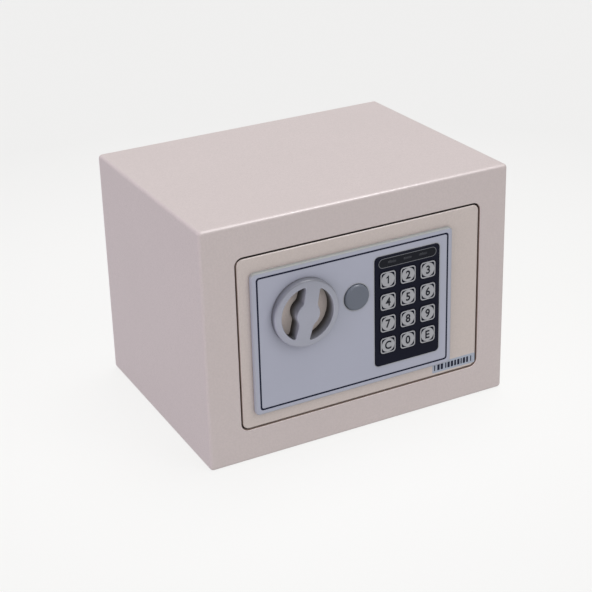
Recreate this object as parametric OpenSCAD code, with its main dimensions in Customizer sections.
// In-room safe: a small sheet steel safe with a keypad lock, a turning knob and a key override.
// Frame: +Z is up, the door faces -Y, and the origin is the centre of the base. Millimetres.
// The model stands with the door closed and its two locking bolts withdrawn.

/* [Body] */
// Width of the body across its front
body_w = 230; // [224:1:250]
// Depth of the body from front to back
body_d = 170; // [165:1:220]
// Height of the body
body_h = 170; // [166:1:200]
// Thickness of the folded body sheet
sheet_t = 1.5; // [1:0.1:2]
// Thickness of the front frame's plate
frame_t = 2; // [1.5:0.1:2]
// Outer radius of the body's folded edges
bend_r = 2.5; // [2.2:0.1:4]
// Thickness of the carpet on the floor
mat_t = 3; // [2:0.5:5]

/* [Door] */
// Width of the door plate
door_w = 182.2; // [181:0.2:184]
// Height of the door plate
door_h = 121.5; // [120:0.5:123]
// Thickness of the door plate
door_t = 3; // [2.5:0.1:3]
// Gap between the door plate and the frame
door_gap = 1.2; // [1:0.1:1.6]
// Distance from the body's middle to the door's middle, along X
door_x = 1; // [0:0.5:2]
// Height of the door's middle above the base
door_z = 85; // [84:0.5:86]
// Corner radius of the door plate
door_corner_r = 4.5; // [3:0.5:6]

/* [Hinge] */
// Distance of the hinge axis from the door's right edge
hinge_inset = 12; // [11.5:0.5:13]
// Distance of the hinge axis behind the door's front face
hinge_depth = 6.5; // [6:0.1:7]
// Radius of the hinge pins
hinge_pin_r = 3; // [2.5:0.1:3]

/* [Control panel] */
// Width of the control panel
panel_w = 151; // [148:1:152]
// Height of the control panel
panel_h = 101.5; // [99:0.5:103]
// Thickness of the control panel
panel_t = 3.5; // [3.2:0.1:4]
// Place of the control panel's middle along X
panel_x = -6.5; // [-7:0.5:-6]
// Height of the control panel's middle
panel_z = 84.75; // [84:0.25:85.5]

/* [Knob] */
// Radius of the knob
knob_r = 23.6; // [22.5:0.1:24]
// Height of the knob's rim above the control panel
knob_rise = 5.6; // [3.5:0.1:8]
// How far the knob's face swells from its rim to its hub
knob_swell = 2.2; // [0.5:0.1:3]
// Place of the knob along X
knob_x = -45.4; // [-46:0.1:-45]
// Lean of the knob's centre bar from upright, clockwise from the front
knob_lean = 13.9; // [0:0.1:45]
// Width of the knob's centre bar
bar_w = 10.5; // [9:0.5:14]
// Radius of the knob's hub
hub_r = 8.5; // [7:0.5:10]
// Outer radius of the knob's two pockets
pocket_r = 19; // [17:0.5:20]

/* [Keypad] */
// Width of the black keypad plate
pad_w = 50.3; // [50:0.1:51]
// Height of the black keypad plate
pad_h = 80.3; // [80:0.1:81]
// Place of the keypad's middle along X
pad_x = 33.4; // [33:0.1:34]
// Height of the keypad's middle
pad_z = 86.1; // [85.8:0.1:86.4]
// Side of one key
key_side = 12; // [11:0.1:12.2]
// Distance between two key columns
key_pitch_x = 15.6; // [15:0.1:16]
// Distance between two key rows
key_pitch_z = 16.1; // [15.5:0.1:16.2]
// How far a key stands out of the keypad plate
key_proud = 0.6; // [0.3:0.1:1.2]
// How far a key goes in when it is pressed
key_travel = 0.6; // [0.3:0.1:0.6]

/* [Override lock] */
// Place of the override lock along X
lock_x = -5.8; // [-6.5:0.1:-5.5]
// Radius of the cap that covers the override lock
cap_r = 9.1; // [9:0.1:9.6]
// Height of the cap's face above the control panel
cap_rise = 1.8; // [0.8:0.1:3]
// Radius of the lock's body
lock_r = 9.2; // [8.5:0.1:9.2]

/* [Bolts] */
// Radius of the two locking bolts
bolt_r = 7; // [6:0.5:7]
// Distance between the locking bolts
bolt_spacing = 60; // [58:1:60]
// How far the bolts travel
bolt_travel = 14; // [12:0.5:14]

/* [Inner cover] */
// Depth of the cover behind the door plate
cover_d = 38; // [38:0.5:40]
// Thickness of the cover's sheet
cover_t = 1; // [0.8:0.1:1]

/* [Mounting] */
// Radius of the anchor holes in the back and the floor
anchor_r = 4.5; // [4:0.5:6]
// Distance between the two anchor holes of a pair
anchor_spacing = 120; // [80:5:140]

/* [Hidden] */
$fn = 64;
// Radial clearance of a shaft that turns or slides in a bore
fit = 0.05;
// Overcut that lets a cutting shape run past the face it cuts
cut = 1;

front_y = -body_d / 2;
back_y = body_d / 2;
shell_front_y = front_y + frame_t;
door_back_y = front_y + door_t;
anchor_z = body_h / 2;
anchor_y = 15;

open_w = door_w + 2 * door_gap;
open_h = door_h + 2 * door_gap;
open_left = door_x - open_w / 2;
open_top = door_z + open_h / 2;
open_bottom = door_z - open_h / 2;
door_left = door_x - door_w / 2;
door_right = door_x + door_w / 2;
rail_t = 2;
rail_d = 12;

hinge_x = door_right - hinge_inset;
hinge_y = front_y + hinge_depth;
hinge_bracket_t = 3;
hinge_bracket_w = 14;
// The brackets' outer faces lie this far inside the door plate's top and bottom edges.
hinge_bracket_inset = 2;

panel_y = front_y - panel_t;
panel_screw_r = 1.5;
panel_screws_xz = [[-60, 38.5], [-60, 131], [66, 46], [66, 124]];

knob_z = 101.8;
knob_rim_y = panel_y - knob_rise;
knob_face_y = knob_rim_y - knob_swell;
knob_flange_y = panel_y - 0.4;
knob_back_y = front_y - 0.4;
knob_neck_r = knob_r - 2.8;
shaft_r = 5;

// Depth at which the bolts and the carriage lie
bolt_y = front_y + 15;
carriage_y0 = front_y + 19;
carriage_t = 2;
carriage_y1 = carriage_y0 + carriage_t;
bolts_z = [door_z - bolt_spacing / 2, door_z + bolt_spacing / 2];
bolt_tip_x = door_left + 3.1;
bolt_end_x = -62;
spigot_r = 3;
carriage_tab_t = 2;

// The drive pin swings 45 degrees either side of upright, so its chord is the bolts' travel.
pin_r = 2.5;
pin_swing_r = bolt_travel / sqrt(2);
pin_dx = bolt_travel / 2;
pin_slack = 0.5;
disc_r = pin_swing_r + pin_r + 1.1;
disc_t = 3;
disc_y1 = front_y + 15;
disc_y0 = disc_y1 - disc_t;

stud_r = 3;
stud_shoulder_r = 5;
stud_slack = 0.2;
studs_xz = [[-50, 62], [-50, 122], [-24, 39]];

plunger_x = 8;
plunger_y = carriage_y0 + carriage_t / 2;
plunger_travel = 4;
plunger_tip_z = 46;
plunger_tip_r = 3;
armature_r = 4.5;
solenoid_z0 = 62;
solenoid_z1 = 88;
solenoid_half_d = 9;
solenoid_t = 1.5;
lower_clip_z = 54;
clip_t = 1.2;
lower_clip_r = 7;
lift_collar_r = 7.5;
spring_r = 5.8;
spring_wire_r = 0.4;
spring_turns = 4;

// Top edge of the carriage's arm: a low stretch, a ramp to a crest, and the locking notch
arm_crest_z = plunger_tip_z - 0.8;
arm_low_z = plunger_tip_z - plunger_travel - 0.4;
ramp_x0 = plunger_x + plunger_tip_r + 0.5;
crest_w = 1;
notch_x0 = plunger_x + bolt_travel - plunger_tip_r - 0.8;
notch_x1 = plunger_x + bolt_travel + plunger_tip_r + 1.5;
arm_bottom_z = 33;
arm_end_x = plunger_x + 23;

lock_z = 101.8;
lock_core_r = 6;
lock_tail_r = 3.5;
lock_front_y = front_y - 1;
lock_back_y = front_y + 13;
cam_y0 = lock_back_y + 0.3;
cam_t = 2;
cam_half_w = 4;
cam_reach = 12;
// The lift collar sits just above the cam when the cam has turned.
lift_collar_z = lock_z + cam_half_w + 0.3;

cover_x0 = door_left + 8.1;
cover_x1 = hinge_x - 10.1;
cover_z0 = door_z - 58;
cover_z1 = door_z + 58;
cover_y = door_back_y + cover_d;
cover_inner_y = cover_y - cover_t;
cover_post_r = 3.5;
cover_screw_r = 1.5;
cover_posts_xz = [[-75, 33], [-75, 137], [64, 33], [64, 137]];

pad_front_y = panel_y - 0.6;
pad_back_y = panel_y + 1.4;
pad_corner_r = 3;
ledge_w = 2;
key_corner_r = 2.5;
key_slack = 0.3;
key_flange_w = 0.8;
key_flange_t = 0.7;
key_flange_y = pad_back_y + 0.2;
key_row_z = pad_z + 23.1;
board_w = 56;
board_h = 88;
board_t = 1.6;
board_slack = 1;
dome_t = 0.5;
window_w = 44.6;
window_h = 6.5;
window_z = pad_z + 35.1;
led_pitch = 12;
led_r = 1.5;

cell_r = 7.1;
cell_l = 49.5;
cell_nub_r = 2.7;
cell_nub_l = 1;
cells_x = [30.2, 45.3];
cells_y = cover_inner_y - 9;
cells_z = [34, 85.5];
holder_x0 = 21.5;
holder_x1 = 54;
holder_z0 = 30.5;
holder_z1 = 139.5;
holder_y0 = cells_y - cell_r - 1.9;
holder_wall = 1.2;

reset_y = front_y + 27;
reset_r = 2.5;
reset_switch_w = 8;

label_w = 35;
label_h = 7.5;
label_t = 0.1;

paint = "#d3c7c0";
door_paint = "#d6cbc1";
inner_paint = "#c9c0b8";
zinc = "#b4b9bd";
panel_grey = "#a9afb9";
knob_grey = "#b3b9c2";
cap_grey = "#7c848b";
pad_black = "#1b1d24";
key_grey = "#b7b8bb";

// ---- Shared shapes ----

// A box between its low and high corners
module block(low, high) {
    translate(low) cube(high - low);
}

// A flat shape drawn in X and Z, given thickness from y0 to y1
module upright(y0, y1) {
    translate([0, y1, 0]) rotate([90, 0, 0]) linear_extrude(y1 - y0) children();
}

module rod_x(r, x0, x1) {
    translate([x0, 0, 0]) rotate([0, 90, 0]) cylinder(r = r, h = x1 - x0);
}

module rod_y(r, y0, y1) {
    translate([0, y0, 0]) rotate([-90, 0, 0]) cylinder(r = r, h = y1 - y0);
}

module rod_z(r, z0, z1) {
    translate([0, 0, z0]) cylinder(r = r, h = z1 - z0);
}

// A rectangle about the origin with round corners
module round_rect(w, h, r) {
    square([w - 2 * r, h], center = true);
    square([w, h - 2 * r], center = true);
    for (sx = [-1, 1], sz = [-1, 1])
        translate([sx * (w / 2 - r), sz * (h / 2 - r)]) circle(r);
}

// A rectangle about the origin whose short sides are half circles
module pill(w, h) {
    square([w - h, h], center = true);
    for (sx = [-1, 1])
        translate([sx * (w - h) / 2, 0]) circle(h / 2);
}

// Copies the children to each [x, z] of a list
module at_xz(places) {
    for (p = places)
        translate([p[0], 0, p[1]]) children();
}

// Copies the children to the two anchor holes of a pair
module at_anchors() {
    for (sx = [-1, 1])
        translate([sx * anchor_spacing / 2, 0, 0]) children();
}

module at_bolts() {
    for (z = bolts_z)
        translate([0, bolt_y, z]) children();
}

// A wire that runs through a list of points
module wire(points, r) {
    for (i = [0 : len(points) - 2]) {
        step = points[i + 1] - points[i];
        length = norm(step);
        turn = atan2(step[1], step[0]);
        tilt = acos(step[2] / length);
        translate(points[i]) rotate([0, tilt, turn]) cylinder(r = r, h = length, $fn = 24);
    }
    if (len(points) > 2)
        for (i = [1 : len(points) - 2])
            translate(points[i]) sphere(r, $fn = 24);
}

// ---- Body ----

// Four folded walls: top, floor and two sides
module body_shell() {
    color(paint) difference() {
        upright(shell_front_y, back_y) translate([0, body_h / 2]) difference() {
            round_rect(body_w, body_h, bend_r);
            round_rect(body_w - 2 * sheet_t, body_h - 2 * sheet_t, bend_r - sheet_t);
        }
        at_anchors() translate([0, anchor_y, 0]) rod_z(anchor_r, -cut, sheet_t + cut);
    }
}

// Front plate with the door's opening
module front_frame() {
    color(paint) upright(front_y, shell_front_y) difference() {
        translate([0, body_h / 2]) round_rect(body_w, body_h, bend_r);
        translate([door_x, door_z]) round_rect(open_w, open_h, door_corner_r + door_gap);
    }
}

// Strips welded behind the frame, above and below the opening, that hold the hinge pins
module hinge_rails() {
    color(paint) difference() {
        for (z = [open_bottom - rail_t, open_top])
            block([open_left, shell_front_y, z],
                  [open_left + open_w, shell_front_y + rail_d, z + rail_t]);
        translate([hinge_x, hinge_y, 0]) {
            rod_z(hinge_pin_r + fit, open_bottom - rail_t - cut, open_bottom + cut);
            rod_z(hinge_pin_r + fit, open_top - cut, open_top + rail_t + cut);
        }
    }
}

// Plate welded into the rear of the shell, with the two wall anchor holes
module back_panel() {
    color(paint) upright(back_y - sheet_t, back_y) difference() {
        translate([0, body_h / 2])
            round_rect(body_w - 2 * sheet_t, body_h - 2 * sheet_t, bend_r - sheet_t);
        for (sx = [-1, 1])
            translate([sx * anchor_spacing / 2, anchor_z]) circle(anchor_r);
    }
}

// Three angles in a column behind the frame's left border. The bolts shoot between them.
module strike_angles() {
    half_gap = bolt_r + 0.8;
    web_x1 = open_left - 0.5;
    web_x0 = web_x1 - 2;
    spans = [
        [door_z - 50, bolts_z[0] - half_gap],
        [bolts_z[0] + half_gap, bolts_z[1] - half_gap],
        [bolts_z[1] + half_gap, door_z + 50]
    ];
    color(paint)
        for (s = spans) {
            block([web_x0, shell_front_y, s[0]], [web_x1, front_y + 30, s[1]]);
            block([web_x0 - 12, shell_front_y, s[0]], [web_x0, shell_front_y + 2, s[1]]);
        }
}

// Two tabs on the middle angle that the closing door comes to rest against
module door_stops() {
    x0 = open_left - 0.5;
    y0 = door_back_y + 0.4;
    color(paint)
        for (dz = [-15, 15])
            block([x0, y0, door_z + dz - 5], [x0 + 3, y0 + 2, door_z + dz + 5]);
}

// Carpet on the floor, cut round the two floor anchor holes
module floor_mat() {
    side_gap = 3;
    color("#5a5654") difference() {
        block([-body_w / 2 + sheet_t + side_gap, front_y + 19, sheet_t],
              [body_w / 2 - sheet_t - side_gap, back_y - sheet_t - side_gap, sheet_t + mat_t]);
        at_anchors() translate([0, anchor_y, 0])
            rod_z(anchor_r + 3, sheet_t - cut, sheet_t + mat_t + cut);
    }
}

// ---- Door ----

module door_plate() {
    color(door_paint) upright(front_y, door_back_y) difference() {
        translate([door_x, door_z]) round_rect(door_w, door_h, door_corner_r);
        translate([knob_x, knob_z]) circle(shaft_r + fit);
        translate([lock_x, lock_z]) circle(lock_r + fit);
        translate([pad_x, pad_z])
            round_rect(board_w + 2 * board_slack, board_h + 2 * board_slack, 2);
        for (p = panel_screws_xz)
            translate(p) circle(panel_screw_r + 0.1);
    }
}

// Angles welded behind the door plate's hinge edge, top and bottom, that hold the pins
module hinge_brackets() {
    foot_l = 16;
    foot_t = 1.5;
    color(door_paint)
        for (s = [-1, 1])
            translate([hinge_x, 0, door_z]) scale_z(s) difference() {
                union() {
                    block([-hinge_bracket_w / 2, door_back_y, bracket_z0()],
                          [hinge_bracket_w / 2, hinge_y + 6, bracket_z0() + hinge_bracket_t]);
                    block([-hinge_bracket_w / 2, door_back_y, bracket_z0() - foot_l],
                          [-hinge_pin_r - 1, door_back_y + foot_t, bracket_z0()]);
                }
                translate([0, hinge_y, 0])
                    rod_z(hinge_pin_r, bracket_z0() - cut, bracket_z0() + hinge_bracket_t + cut);
            }
}

// Mirrors the children in Z where s is -1
module scale_z(s) {
    if (s < 0)
        mirror([0, 0, 1]) children();
    else
        children();
}

function bracket_z0() = door_h / 2 - hinge_bracket_inset - hinge_bracket_t;

module hinge_pins() {
    color(zinc)
        for (s = [-1, 1])
            translate([hinge_x, hinge_y, door_z]) scale_z(s) {
                rod_z(hinge_pin_r, bracket_z0() - 1, open_h / 2 + rail_t + 1.5);
                translate([0, 0, open_h / 2 + rail_t + 1.5])
                    cylinder(r1 = hinge_pin_r, r2 = hinge_pin_r - 1, h = 1);
            }
}

// Angle near the door's free edge with the two bores that carry the locking bolts
module bolt_guide() {
    x0 = cover_x0 + cover_t + 0.5;
    web_t = 2;
    half_h = 43;
    color(zinc) difference() {
        union() {
            block([x0, door_back_y, door_z - half_h],
                  [x0 + web_t, bolt_y + 9, door_z + half_h]);
            block([x0 + web_t, door_back_y, door_z - half_h],
                  [x0 + web_t + 10, door_back_y + 2, door_z + half_h]);
        }
        at_bolts() rod_x(bolt_r + fit, x0 - cut, x0 + web_t + cut);
    }
}

// Shouldered studs that the bolt carriage slides along
module guide_studs() {
    color(zinc) at_xz(studs_xz) {
        rod_y(stud_shoulder_r, door_back_y, carriage_y0 - 0.3);
        rod_y(stud_r, carriage_y0 - 0.3, carriage_y1 + 2);
    }
}

// Clips that keep the carriage on its studs
module stud_clips() {
    color(zinc) at_xz(studs_xz) difference() {
        rod_y(stud_shoulder_r + 0.5, carriage_y1 + 0.3, carriage_y1 + 1.5);
        rod_y(stud_r, carriage_y1, carriage_y1 + 2);
    }
}

// Sheet pan that closes the back of the door
module inner_cover() {
    color(inner_paint) difference() {
        block([cover_x0, door_back_y, cover_z0], [cover_x1, cover_y, cover_z1]);
        block([cover_x0 + cover_t, door_back_y - cut, cover_z0 + cover_t],
              [cover_x1 - cover_t, cover_inner_y, cover_z1 - cover_t]);
        at_bolts() rod_x(bolt_r + 1, cover_x0 - cut, cover_x0 + cover_t + cut);
        translate([0, reset_y, door_z])
            rod_x(reset_r + 0.3, cover_x1 - cover_t - cut, cover_x1 + cut);
        block([holder_x0 + holder_wall, cover_inner_y - cut, holder_z0 + 2.5],
              [holder_x1 - holder_wall, cover_y + cut, holder_z1 - 2.5]);
        at_xz(cover_posts_xz) rod_y(cover_screw_r + 0.1, cover_inner_y - cut, cover_y + cut);
    }
}

// Threaded posts on the door plate that the cover is screwed to
module cover_posts() {
    color(zinc) at_xz(cover_posts_xz) difference() {
        rod_y(cover_post_r, door_back_y, cover_inner_y);
        rod_y(cover_screw_r, cover_inner_y - 10, cover_inner_y + cut);
    }
}

module cover_screws() {
    color(zinc) at_xz(cover_posts_xz) difference() {
        union() {
            rod_y(cover_screw_r, cover_inner_y - 9, cover_y);
            rod_y(cover_screw_r * 2, cover_y, cover_y + 1.7);
        }
        translate([0, cover_y + 1.7, 0]) {
            cube([3.6, 1.6, 0.8], center = true);
            cube([0.8, 1.6, 3.6], center = true);
        }
    }
}

// Blank sticker at the door's lower right corner
module door_label() {
    color("#e8ecef") upright(front_y - label_t, front_y)
        translate([door_right - label_w / 2 - 0.6, door_z - door_h / 2 + label_h / 2 + 2])
            round_rect(label_w, label_h, 0.8);
}

// ---- Control panel and keypad ----

// Moulded plate with a collar hole for the knob, a hole for the lock's cap and a stepped window
// that the keypad plate drops into
module control_panel() {
    color(panel_grey) difference() {
        upright(panel_y, front_y) difference() {
            translate([panel_x, panel_z]) round_rect(panel_w, panel_h, 3);
            translate([knob_x, knob_z]) circle(knob_neck_r + 0.7);
            translate([lock_x, lock_z]) circle(cap_r + 0.3);
            translate([pad_x, pad_z]) round_rect(pad_w - 2 * ledge_w, pad_h - 2 * ledge_w, 2);
        }
        upright(panel_y - cut, pad_back_y)
            translate([pad_x, pad_z]) round_rect(pad_w + 0.3, pad_h + 0.3, pad_corner_r);
        at_xz(panel_screws_xz) rod_y(panel_screw_r, front_y - 2.2, front_y + cut);
    }
}

// Pan head screws that pull the panel against the door from behind
module panel_screws() {
    color(zinc) at_xz(panel_screws_xz) difference() {
        union() {
            rod_y(panel_screw_r, front_y - 2, door_back_y);
            rod_y(panel_screw_r + 1.1, door_back_y, door_back_y + 1.8);
        }
        translate([0, door_back_y + 1.8, 0]) {
            cube([3.2, 1.6, 0.7], center = true);
            cube([0.7, 1.6, 3.2], center = true);
        }
    }
}

// Centre of the key in a column and a row, counted from the upper left
function key_xz(column, row) = [pad_x + (column - 1) * key_pitch_x, key_row_z - row * key_pitch_z];

module keypad_plate() {
    hole = key_side + 2 * key_slack;
    color(pad_black) upright(pad_front_y, pad_back_y) difference() {
        translate([pad_x, pad_z]) round_rect(pad_w, pad_h, pad_corner_r);
        translate([pad_x, window_z]) pill(window_w, window_h);
        for (column = [0 : 2], row = [0 : 3])
            translate(key_xz(column, row)) round_rect(hole, hole, key_corner_r + key_slack);
    }
}

// Smoked window over the three status lamps
module led_window() {
    color("#2b2f3a") upright(pad_front_y, pad_back_y - 0.6)
        translate([pad_x, window_z]) pill(window_w, window_h);
}

module status_leds() {
    color("#9fb39a")
        for (i = [-1 : 1])
            translate([pad_x + i * led_pitch, 0, window_z]) {
                rod_y(led_r, pad_back_y + 0.2, front_y);
            }
}

// Sheet of switch domes between the keys and the circuit board
module dome_sheet() {
    color("#c9c4b0") upright(front_y - dome_t, front_y)
        translate([pad_x, key_row_z - 1.5 * key_pitch_z])
            round_rect(pad_w - 2 * ledge_w - 0.4, 3 * key_pitch_z + key_side + 3, 1.5);
}

// Board with its chip, two capacitors, a sounder and a plug on the rear
module circuit_board() {
    rear_y = front_y + board_t;
    color("#2f6b46") {
        upright(front_y, rear_y) translate([pad_x, pad_z]) round_rect(board_w, board_h, 1.5);
        block([pad_x - 9, rear_y, pad_z - 12], [pad_x + 3, rear_y + 2.2, pad_z + 6]);
        block([pad_x + 10, rear_y, pad_z - 36], [pad_x + 22, rear_y + 5, pad_z - 29]);
        translate([pad_x - 18, 0, pad_z + 30]) rod_y(5.5, rear_y, rear_y + 6);
        for (dz = [-30, -20])
            translate([pad_x - 12, 0, pad_z + dz]) rod_y(3, rear_y, rear_y + 7);
    }
}

// Leads from the board to the batteries, the solenoid and the reset switch
module wire_harness() {
    board_y = front_y + board_t;
    lead_r = 0.8;
    coil_side_x = plunger_x + 7.4;
    coil_z = (solenoid_z0 + solenoid_z1) / 2;
    color("#a3302c") {
        for (dx = [0, 4])
            wire([[38 + dx, board_y, 112], [38 + dx, holder_y0, 112]], lead_r);
        for (dz = [-2, 2])
            wire([[coil_side_x, plunger_y, coil_z + dz], [19.6, plunger_y, coil_z + dz],
                  [19.6, board_y, coil_z + dz]], lead_r);
        for (dz = [-2, 2])
            wire([[cover_x1 - cover_t - reset_switch_w, reset_y, door_z + dz],
                  [58, reset_y, door_z + dz], [58, board_y, door_z + dz]], lead_r);
    }
}

module key_cap(column, row) {
    place = key_xz(column, row);
    color(key_grey) translate([place[0], 0, place[1]]) {
        upright(pad_front_y - key_proud, key_flange_y)
            round_rect(key_side, key_side, key_corner_r);
        upright(key_flange_y, key_flange_y + key_flange_t)
            round_rect(key_side + 2 * key_flange_w, key_side + 2 * key_flange_w, key_corner_r);
    }
}

module key_1() { key_cap(0, 0); }
module key_2() { key_cap(1, 0); }
module key_3() { key_cap(2, 0); }
module key_4() { key_cap(0, 1); }
module key_5() { key_cap(1, 1); }
module key_6() { key_cap(2, 1); }
module key_7() { key_cap(0, 2); }
module key_8() { key_cap(1, 2); }
module key_9() { key_cap(2, 2); }
module key_c() { key_cap(0, 3); }
module key_0() { key_cap(1, 3); }
module key_e() { key_cap(2, 3); }

// ---- Knob and bolts ----

// Ring with a centre bar and hub to grip, its face swelling towards the hub; the two pockets either
// side go right through
module knob() {
    color(knob_grey) translate([knob_x, 0, knob_z]) rotate([0, knob_lean, 0]) difference() {
        union() {
            translate([0, knob_face_y, 0]) rotate([-90, 0, 0])
                cylinder(r1 = hub_r, r2 = knob_r - 1, h = knob_swell);
            rod_y(knob_r, knob_rim_y, knob_flange_y);
            rod_y(knob_neck_r, knob_flange_y, knob_back_y);
        }
        upright(knob_face_y - cut, knob_back_y + cut) difference() {
            circle(pocket_r);
            square([bar_w, 2 * pocket_r + 2], center = true);
            circle(hub_r);
        }
        rod_y(shaft_r, front_y - 5, knob_back_y + cut);
    }
}

module knob_shaft() {
    color(zinc) translate([knob_x, 0, knob_z]) difference() {
        rod_y(shaft_r, front_y - 5, disc_y1 - 0.5);
        rod_y(1.5, disc_y1 - 9, disc_y1);
    }
}

// Disc on the shaft's inner end whose pin drives the carriage
module cam_disc() {
    color(zinc) translate([knob_x, 0, knob_z]) difference() {
        union() {
            rod_y(shaft_r + 3, door_back_y + 0.3, disc_y0);
            rod_y(disc_r, disc_y0, disc_y1);
            translate([pin_dx, 0, pin_dx]) rod_y(pin_r, disc_y0, carriage_y1 + 2.5);
        }
        rod_y(shaft_r, door_back_y, disc_y1 + cut);
    }
}

module cam_screw() {
    head_t = 2;
    color(zinc) translate([knob_x, 0, knob_z]) difference() {
        union() {
            rod_y(1.5, disc_y1 - 8, disc_y1);
            rod_y(shaft_r + 1.5, disc_y1, disc_y1 + head_t);
        }
        translate([0, disc_y1 + head_t, 0]) {
            cube([6, 1.6, 1], center = true);
            cube([1, 1.6, 6], center = true);
        }
    }
}

// Outline of the carriage: an upright plate and an arm with the solenoid's ramp and notch
module carriage_outline() {
    plate_x0 = bolt_end_x;
    plate_x1 = -30;
    translate([plate_x0, 43]) square([plate_x1 - plate_x0, 87]);
    polygon([
        [-45, arm_bottom_z],
        [arm_end_x, arm_bottom_z],
        [arm_end_x, arm_crest_z],
        [notch_x1, arm_crest_z],
        [notch_x1, arm_low_z],
        [notch_x0, arm_low_z],
        [notch_x0, arm_crest_z],
        [notch_x0 - crest_w, arm_crest_z],
        [ramp_x0, arm_low_z],
        [plunger_x - 6, arm_low_z],
        [plunger_x - 6, arm_crest_z],
        [-45, arm_crest_z]
    ]);
}

// Sliding plate that carries both bolts
module bolt_carriage() {
    slot_h = 2 * (stud_r + stud_slack);
    pin_z0 = knob_z + pin_dx - pin_r - 0.8;
    pin_z1 = knob_z + pin_swing_r + pin_r + 0.8;
    color(zinc) difference() {
        union() {
            upright(carriage_y0, carriage_y1) difference() {
                carriage_outline();
                for (p = studs_xz)
                    translate([p[0] + bolt_travel / 2, p[1]]) pill(slot_h + bolt_travel, slot_h);
                translate([knob_x + pin_dx - pin_r - pin_slack, pin_z0])
                    square([2 * (pin_r + pin_slack), pin_z1 - pin_z0]);
            }
            block([bolt_end_x, bolt_y - bolt_r, door_z - 39],
                  [bolt_end_x + carriage_tab_t, carriage_y1, door_z + 39]);
        }
        at_bolts() rod_x(spigot_r, bolt_end_x - cut, bolt_end_x + carriage_tab_t + cut);
    }
}

// Two round steel bolts, riveted to the carriage by their spigots
module locking_bolts() {
    nose = 1;
    color(zinc) at_bolts() {
        translate([bolt_tip_x, 0, 0]) rotate([0, 90, 0])
            cylinder(r1 = bolt_r - nose, r2 = bolt_r, h = nose);
        rod_x(bolt_r, bolt_tip_x + nose, bolt_end_x);
        rod_x(spigot_r, bolt_end_x, bolt_end_x + carriage_tab_t);
    }
}

// ---- Solenoid ----

// Folded steel yoke round the coil, with a foot on the door plate
module solenoid_frame() {
    x0 = plunger_x - 10;
    x1 = plunger_x + 10;
    y0 = plunger_y - solenoid_half_d;
    y1 = plunger_y + solenoid_half_d;
    foot_x = x0 - 12;
    web_x = x0 - 4;
    foot_z0 = solenoid_z0 + 4;
    foot_z1 = solenoid_z1 - 4;
    color(zinc) difference() {
        union() {
            block([x0, y0, solenoid_z0], [x1, y1, solenoid_z0 + solenoid_t]);
            block([x0, y0, solenoid_z1 - solenoid_t], [x1, y1, solenoid_z1]);
            block([x0, y0, solenoid_z0], [x1, y0 + solenoid_t, solenoid_z1]);
            block([x0, y1 - solenoid_t, solenoid_z0], [x1, y1, solenoid_z1]);
            block([web_x, y0, foot_z0], [x0, y0 + solenoid_t, foot_z1]);
            block([web_x, door_back_y, foot_z0], [web_x + solenoid_t, y0, foot_z1]);
            block([foot_x, door_back_y, foot_z0], [web_x, door_back_y + solenoid_t, foot_z1]);
        }
        translate([plunger_x, plunger_y, 0])
            rod_z(armature_r + 0.5, solenoid_z0 - cut, solenoid_z1 + cut);
    }
}

module solenoid_coil() {
    z0 = solenoid_z0 + solenoid_t;
    z1 = solenoid_z1 - solenoid_t;
    cheek_t = 1.5;
    color("#9a5a2c") translate([plunger_x, plunger_y, 0]) difference() {
        union() {
            rod_z(6.6, z0, z1);
            rod_z(7.4, z0, z0 + cheek_t);
            rod_z(7.4, z1 - cheek_t, z1);
            rod_z(7.1, z0 + cheek_t + 1, z1 - cheek_t - 1);
        }
        rod_z(armature_r + fit, z0 - cut, z1 + cut);
    }
}

// Steel plunger whose tip drops into the carriage's notch
module plunger() {
    color(zinc) translate([plunger_x, plunger_y, 0]) {
        translate([0, 0, plunger_tip_z])
            cylinder(r1 = plunger_tip_r - 0.6, r2 = plunger_tip_r, h = 0.8);
        rod_z(plunger_tip_r, plunger_tip_z + 0.8, 58);
        rod_z(armature_r, 58, 92);
        rod_z(2.5, 92, lift_collar_z + 3);
    }
}

// Lower clip that the spring pushes on, and the collar that the lock's cam lifts
module plunger_clips() {
    color(zinc) translate([plunger_x, plunger_y, 0]) {
        difference() {
            rod_z(lower_clip_r, lower_clip_z, lower_clip_z + clip_t);
            rod_z(plunger_tip_r, lower_clip_z - cut, lower_clip_z + clip_t + cut);
        }
        difference() {
            rod_z(lift_collar_r, lift_collar_z, lift_collar_z + 1.5);
            rod_z(2.5, lift_collar_z - cut, lift_collar_z + 1.5 + cut);
        }
    }
}

// Compression spring as a stack of sloping rings joined by short posts
module plunger_spring() {
    z0 = lower_clip_z + clip_t;
    z1 = solenoid_z0;
    pitch = (z1 - z0 - 2 * spring_wire_r) / spring_turns;
    color(zinc) translate([plunger_x, plunger_y, 0]) {
        for (i = [0 : spring_turns])
            translate([0, 0, z0 + spring_wire_r + i * pitch])
                rotate_extrude() translate([spring_r, 0]) circle(spring_wire_r, $fn = 16);
        for (i = [0 : spring_turns - 1])
            rotate([0, 0, i * 180]) translate([spring_r, 0, z0 + spring_wire_r + i * pitch])
                cylinder(r = spring_wire_r, h = pitch, $fn = 16);
    }
}

// ---- Override lock ----

module lock_body() {
    color(zinc) translate([lock_x, 0, lock_z]) difference() {
        rod_y(lock_r, lock_front_y, lock_back_y);
        rod_y(lock_core_r + fit, lock_front_y - cut, lock_back_y + cut);
    }
}

// Hexagonal nut that clamps the lock's body to the door plate
module lock_nut() {
    color(zinc) translate([lock_x, 0, lock_z]) difference() {
        upright(door_back_y, door_back_y + 4) circle(lock_r + 2.8, $fn = 6);
        rod_y(lock_r, door_back_y - cut, door_back_y + 5);
    }
}

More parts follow.
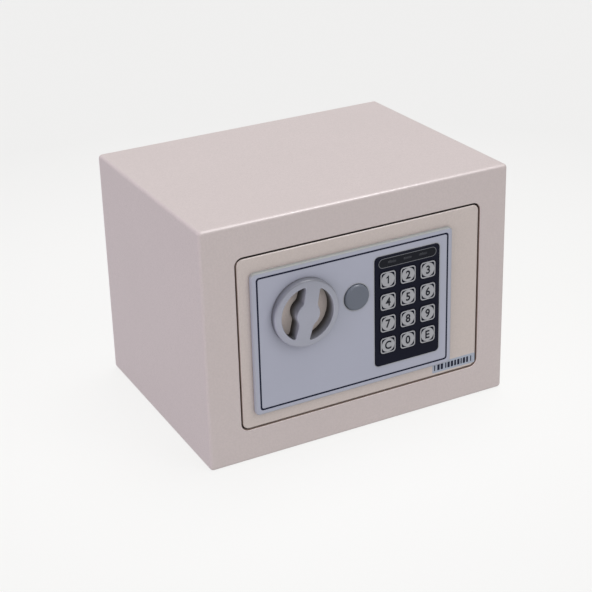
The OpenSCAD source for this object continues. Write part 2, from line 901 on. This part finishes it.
// Turning core with its key slot and a tail for the cam
module lock_core() {
    color("#c9b27a") translate([lock_x, 0, lock_z]) difference() {
        union() {
            rod_y(lock_core_r, lock_front_y + 0.2, lock_back_y);
            rod_y(lock_tail_r, lock_back_y, cam_y0 + cam_t + 2);
        }
        block([-0.8, lock_front_y - cut, -4], [0.8, lock_front_y + 10, 4]);
    }
}

// Lever on the core's tail, pointing down; a quarter turn brings it under the lift collar
module lock_cam() {
    color(zinc) translate([lock_x, 0, lock_z]) difference() {
        upright(cam_y0, cam_y0 + cam_t) {
            circle(5.5);
            translate([-cam_half_w, -cam_reach]) square([2 * cam_half_w, cam_reach]);
        }
        rod_y(lock_tail_r, cam_y0 - cut, cam_y0 + cam_t + cut);
    }
}

module lock_cam_nut() {
    y0 = cam_y0 + cam_t;
    color(zinc) translate([lock_x, 0, lock_z]) difference() {
        upright(y0, y0 + 1.8) circle(5, $fn = 6);
        rod_y(lock_tail_r, y0 - cut, y0 + 3);
    }
}

// Push-in cap that hides the keyhole
module lock_cap() {
    color(cap_grey) translate([lock_x, 0, lock_z]) difference() {
        union() {
            rod_y(cap_r, panel_y - cap_rise + 0.5, lock_front_y - 0.3);
            translate([0, panel_y - cap_rise, 0]) rotate([-90, 0, 0])
                cylinder(r1 = cap_r - 0.5, r2 = cap_r, h = 0.5);
        }
        rod_y(cap_r - 1.2, panel_y - cap_rise + 1.8, lock_front_y);
    }
}

// ---- Batteries and reset ----

// Open tray for four cells in two columns, against the inside of the cover
module battery_holder() {
    color("#2a2b2e") difference() {
        block([holder_x0, holder_y0, holder_z0], [holder_x1, cover_inner_y, holder_z1]);
        block([holder_x0 + holder_wall, holder_y0 + 1.5, holder_z0 + 1.5],
              [holder_x1 - holder_wall, cover_inner_y + cut, holder_z1 - 1.5]);
    }
}

module batteries() {
    color("#3b5f8a")
        for (column = [0, 1], z = cells_z)
            translate([cells_x[column], cells_y, z + (cell_l + cell_nub_l) / 2])
                scale_z(column == 0 ? 1 : -1) {
                    rod_z(cell_r, -(cell_l + cell_nub_l) / 2, (cell_l - cell_nub_l) / 2);
                    rod_z(cell_nub_r, (cell_l - cell_nub_l) / 2, (cell_l + cell_nub_l) / 2);
                }
}

// Sprung plates at both ends of each column and flat links between its cells
module battery_contacts() {
    cell_pitch = cell_l + cell_nub_l;
    color(zinc)
        for (x = cells_x)
            translate([x, cells_y, 0]) {
                rod_z(4, holder_z0 + 1.5, cells_z[0]);
                rod_z(4, cells_z[0] + cell_pitch, cells_z[1]);
                rod_z(4, cells_z[1] + cell_pitch, holder_z1 - 1.5);
            }
}

// Clip-on lid over the batteries, with a lip that drops into the cover's opening
module battery_lid() {
    lip_gap = 0.4;
    color("#2f3033") {
        block([holder_x0 - 2, cover_y, holder_z0 - 0.5],
              [holder_x1 + 2, cover_y + 1.6, holder_z1 + 0.5]);
        block([holder_x0 + holder_wall + lip_gap, cover_inner_y, holder_z0 + 2.5 + lip_gap],
              [holder_x1 - holder_wall - lip_gap, cover_y, holder_z1 - 2.5 - lip_gap]);
        for (i = [0 : 3])
            block([holder_x0 + 8, cover_y + 1.6, holder_z1 - 10 + 2 * i],
                  [holder_x1 - 8, cover_y + 2.4, holder_z1 - 9.2 + 2 * i]);
    }
}

// Small switch on the cover's hinge side that starts a change of code
module reset_switch() {
    x1 = cover_x1 - cover_t;
    half = reset_switch_w / 2;
    color("#26272b") difference() {
        block([x1 - reset_switch_w, reset_y - half, door_z - half],
              [x1, reset_y + half, door_z + half]);
        translate([0, reset_y, door_z]) rod_x(reset_r + fit, x1 - reset_switch_w + 1.5, x1 + cut);
    }
}

module reset_button() {
    color("#b8201c") translate([0, reset_y, door_z])
        rod_x(reset_r, cover_x1 - cover_t - 4.5, cover_x1 + 2);
}

// ---- Nodes ----

body_shell();
front_frame();
hinge_rails();
back_panel();
strike_angles();
door_stops();
floor_mat();
door_plate();
hinge_brackets();
hinge_pins();
bolt_guide();
guide_studs();
stud_clips();
inner_cover();
cover_posts();
cover_screws();
door_label();
control_panel();
panel_screws();
keypad_plate();
led_window();
status_leds();
dome_sheet();
circuit_board();
wire_harness();
solenoid_frame();
solenoid_coil();
plunger_spring();
plunger();
plunger_clips();
lock_body();
lock_nut();
lock_core();
lock_cam();
lock_cam_nut();
lock_cap();
knob();
knob_shaft();
cam_disc();
cam_screw();
bolt_carriage();
locking_bolts();
battery_holder();
batteries();
battery_contacts();
battery_lid();
reset_switch();
reset_button();
key_1();
key_2();
key_3();
key_4();
key_5();
key_6();
key_7();
key_8();
key_9();
key_c();
key_0();
key_e();
